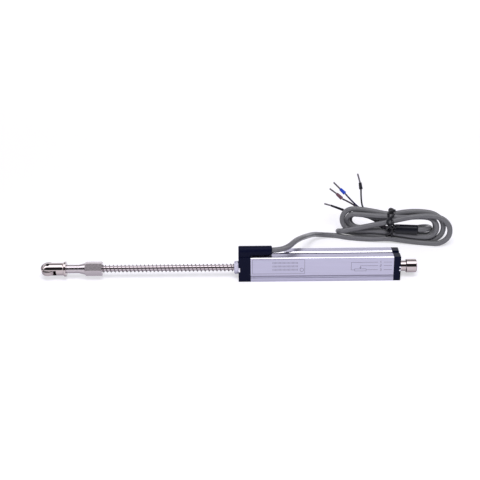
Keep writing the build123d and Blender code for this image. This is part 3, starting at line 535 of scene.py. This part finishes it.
# Each wire's skin, slot, place in the bundle, way up, collar's two ends and length
wires = {
    "black": (wire_black, "wire_black_skin", (-1, 1),
              [(-16.8, 17.6, -8.4), (-23.4, 21.0, -8.6), (-25.6, 28.0, -9.2)],
              (-25.9, 37.3, -9.4), (-26.8, 42.5, -9.4), 0.0475),
    "blue": (wire_blue, "wire_blue_skin", (-1, -1),
             [(-19.5, 17.4, -9.5), (-26.6, 21.6, -9.8), (-32.8, 26.8, -9.9)],
             (-38.2, 32.7, -9.7), (-42.1, 36.2, -9.7), 0.052),
    "brown": (wire_brown, "wire_brown_skin", (1, 1),
              [(-20.5, 17.2, -7.8), (-26.8, 21.4, -8.2), (-32.8, 25.6, -8.5)],
              (-40.1, 29.0, -7.8), (-44.4, 32.7, -7.8), 0.0507),
    "shield": (collar_black, "shield_sleeve", (1, -1),
               [(-22.0, 15.8, -7.8), (-31.0, 17.6, -7.8)],
               (-38.5, 19.6, -7.8), (-48.8, 22.7, -7.8), 0.0462),
}
for colour, (skin, slot, in_bundle, rise, collar_start, collar_end, wire_length) in wires.items():
    out, up = [WIRE_SPREAD * side for side in in_bundle]
    hidden = [(SLEEVE_END[0] - WIRE_GAP, SLEEVE_END[1] + up, SLEEVE_END[2] + out)]
    hidden += [(a - out * math.sin(math.radians(t)), u + up, o + out * math.cos(math.radians(t)))
               for (a, u, o), t in wire_turn]
    into_collar = np.array(collar_start) - WIRE_GAP * unit(np.subtract(collar_end, collar_start))
    route = on_hank(hidden + rise + [tuple(into_collar)])
    wire = smooth_line(f"{colour}_wire", route, WIRE, skin)
    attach(wire, "housing")
    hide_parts(f"wire_{colour}")

# ---------- floor ----------
FLOOR_EDGE = 3.0


def floor_paper():
    """White paper: a grey that keeps the shadows, and a glow for the camera and for what metals
    mirror, which grows with the distance behind the part and, in what metals mirror, fades close
    under the rod as a painted shadow."""
    paper = bpy.data.materials.new("white_paper")
    paper.use_nodes = True
    tree = paper.node_tree
    shader = tree.nodes["Principled BSDF"]
    shader.inputs["Base Color"].default_value = (0.60, 0.59, 0.66, 1)
    shader.inputs["Roughness"].default_value = 0.9
    shader.inputs["Specular IOR Level"].default_value = 0.1
    shader.inputs["Emission Color"].default_value = (1.0, 1.0, 1.0, 1)
    paths = add_node(tree, "LightPath").outputs
    place = add_node(tree, "TexCoord")
    split = add_node(tree, "SeparateXYZ")
    tree.links.new(place.outputs["Object"], split.inputs[0])
    depth = split.outputs["Y"]
    fade = map_range(tree, depth, (-0.02, 1.3), (0.49, 0.94))
    # Painted shadow: what a metal mirrors of the floor close under the rod is turned dark, standing
    # in for that floor in the rod's shade
    aside = combine(tree, "ABSOLUTE", combine(tree, "SUBTRACT", depth, ROD_Y * MM))
    painted_rod_shadow = map_range(tree, aside, (0.003, 0.011), (0.1, 1.0))
    mirrored = combine(tree, "MULTIPLY", paths["Is Glossy Ray"], painted_rod_shadow)
    seen = combine(tree, "MAXIMUM", paths["Is Camera Ray"], mirrored)
    through = combine(tree, "MAXIMUM", seen, paths["Is Transmission Ray"])
    glow = combine(tree, "MULTIPLY", through, fade)
    tree.links.new(glow, shader.inputs["Emission Strength"])
    return paper


floor_corners = np.array([(-1, -1), (1, -1), (1, 1), (-1, 1)]) * FLOOR_EDGE
floor_points = np.column_stack([floor_corners, np.full(4, TABLE_Z * MM)])
table = add_piece("table", floor_points, [(0, 1, 2, 3)], floor_paper(), smooth=False)

# ---------- surroundings ----------
# What the metals mirror, from the front horizon at 0 over the top to the back horizon at 1
BANDS = [(0.0, 0.95), (0.02, 0.6), (0.06, 0.02), (0.30, 0.03), (0.352, 2.8), (0.52, 2.8),
         (0.56, 0.6), (0.72, 0.25), (0.85, 1.2), (1.0, 1.2)]


def studio():
    """The world: white where the camera sees it, an even soft light on everything, and for what
    metals mirror a tent whose brightness follows the bands by the angle up from the front."""
    world = bpy.data.worlds.new("studio")
    world.use_nodes = True
    tree = world.node_tree
    link = tree.links.new
    tree.nodes.clear()
    paths = add_node(tree, "LightPath").outputs
    place = add_node(tree, "TexCoord")
    split = add_node(tree, "SeparateXYZ")
    link(place.outputs["Generated"], split.inputs[0])
    front = combine(tree, "MULTIPLY", split.outputs["Y"], -1.0)
    height = combine(tree, "ARCTAN2", split.outputs["Z"], front)
    tent = add_node(tree, "ValToRGB")
    for position, _ in BANDS[1:-1]:
        tent.color_ramp.elements.new(position)
    for element, (position, value) in zip(tent.color_ramp.elements, BANDS):
        element.position = position
        element.color = (value * 0.97, value * 0.96, value, 1)
    link(map_range(tree, height, (0.0, math.pi), (0.0, 1.0)), tent.inputs["Fac"])
    mirrored = add_node(tree, "Background")
    link(tent.outputs["Color"], mirrored.inputs["Color"])
    soft = add_node(tree, "Background", {"Color": (0.93, 0.93, 1.0, 1), "Strength": 0.38})
    white = add_node(tree, "Background", {"Color": (1, 1, 1, 1)})
    seen = combine(tree, "MAXIMUM", paths["Is Camera Ray"], paths["Is Transmission Ray"])
    shown = soft
    for share, other in ((paths["Is Glossy Ray"], mirrored), (seen, white)):
        mix = add_node(tree, "MixShader")
        link(share, mix.inputs["Fac"])
        link(shown.outputs[0], mix.inputs[1])
        link(other.outputs[0], mix.inputs[2])
        shown = mix
    link(shown.outputs[0], add_node(tree, "OutputWorld").inputs["Surface"])
    return world


bpy.context.scene.world = studio()


def stand(axes, place):
    """The matrix that stands a thing at a place with these three axes as its own x, y and z."""
    matrix = np.eye(4)
    matrix[:3, :3], matrix[:3, 3] = np.stack(axes, -1), place
    return Matrix(matrix.tolist())


def soft_lamp(name, place, size, power):
    """A square lamp at place that looks at the part, unseen in reflections."""
    lamp = bpy.data.lights.new(name, "AREA")
    lamp.size = size
    lamp.energy = power
    lamp.color = (1.0, 0.99, 0.98)
    holder = bpy.data.objects.new(name, lamp)
    away = unit(np.array(place))
    side = unit(np.cross((0.0, 1.0, 0.05), away))
    holder.matrix_world = stand((side, np.cross(away, side), away), place)
    holder.visible_glossy = False
    bpy.context.scene.collection.objects.link(holder)


soft_lamp("key", (0.0, -0.68, 0.74), 0.36, 7.5)
soft_lamp("front_fill", (-0.5, -0.9, 0.5), 0.6, 2.2)

# ---------- camera ----------
# It stands as it did for the photograph, fitted to the housing's edges: 75 mm lens on 36 mm
CAMERA_PLACE = (-0.0487, -0.6557, 0.2822)
pitch, yaw, roll = map(math.radians, (22.13, -0.58, -0.80))
ahead = np.array([math.sin(yaw) * math.cos(pitch), math.cos(yaw) * math.cos(pitch),
                  -math.sin(pitch)])
level = np.array([math.cos(yaw), -math.sin(yaw), 0.0])
over = np.cross(level, ahead)
right = math.cos(roll) * level + math.sin(roll) * over
over = -math.sin(roll) * level + math.cos(roll) * over
lens = bpy.data.cameras.new("camera")
lens.lens = 75
lens.sensor_width = 36
lens.clip_start = 0.01
camera = bpy.data.objects.new("camera", lens)
camera.matrix_world = stand((right, over, -ahead), CAMERA_PLACE)
bpy.context.scene.collection.objects.link(camera)
bpy.context.scene.camera = camera

view = bpy.context.scene.view_settings
view.view_transform = "Standard"
